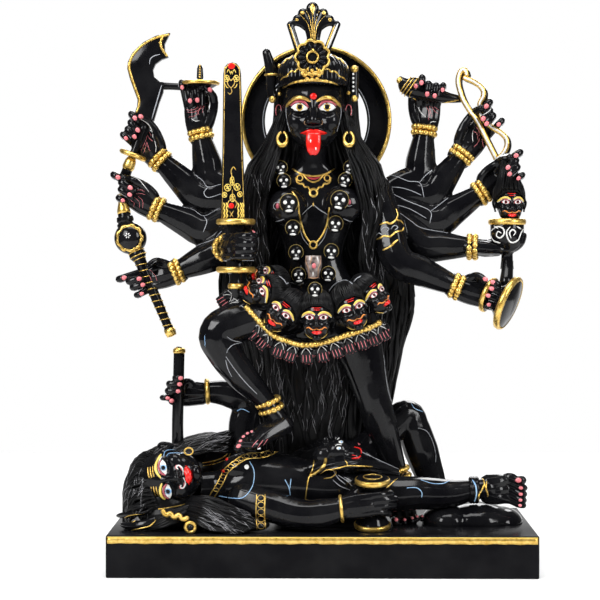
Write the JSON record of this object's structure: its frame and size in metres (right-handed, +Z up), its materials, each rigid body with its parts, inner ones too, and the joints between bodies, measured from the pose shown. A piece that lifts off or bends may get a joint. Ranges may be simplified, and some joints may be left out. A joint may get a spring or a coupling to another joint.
{
  "type": "kali figure",
  "caption": "Carved black marble goddess with many arms, standing on a reclining god, in one piece with its rectangular plinth; painted gold, red and white details.",
  "frame": {"origin": "centre of the plinth's underside", "axes": "+Z up, the figure faces -Y, +X to the right of the front view"},
  "size_m": [0.45, 0.2, 0.6082],
  "materials": {
    "black_marble": "black marble polished to a mirror gloss",
    "gold_paint": "bright gold leaf paint",
    "red_paint": "glossy red enamel",
    "white_paint": "white enamel",
    "pink_paint": "pink enamel",
    "blue_paint": "pale blue enamel"
  },
  "bodies": {
    "root": {"kali_figure": "black_marble"}
  },
  "joints": []
}
